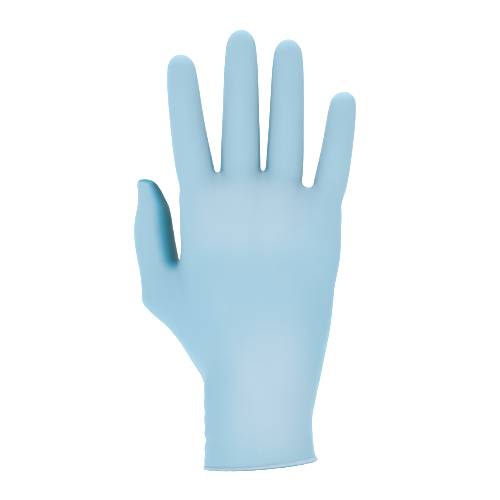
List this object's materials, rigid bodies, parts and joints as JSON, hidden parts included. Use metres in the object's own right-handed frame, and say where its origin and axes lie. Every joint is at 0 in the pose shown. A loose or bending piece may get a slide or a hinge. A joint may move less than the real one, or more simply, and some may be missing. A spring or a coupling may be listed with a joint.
{
  "type": "disposable nitrile exam glove",
  "caption": "Light blue dipped nitrile exam glove in its worn form, fingers up and a little spread, with a plain cuff and a rolled bead at its open mouth.",
  "frame": {"origin": "middle of the cuff's mouth, where the hand goes in", "axes": "+Z from the mouth to the fingertips, +X towards the little finger, -Y out of the back of the hand"},
  "size_m": [0.1219, 0.0543, 0.2394],
  "materials": {
    "nitrile": "satin"
  },
  "bodies": {
    "root": {"glove": "nitrile"}
  },
  "joints": []
}
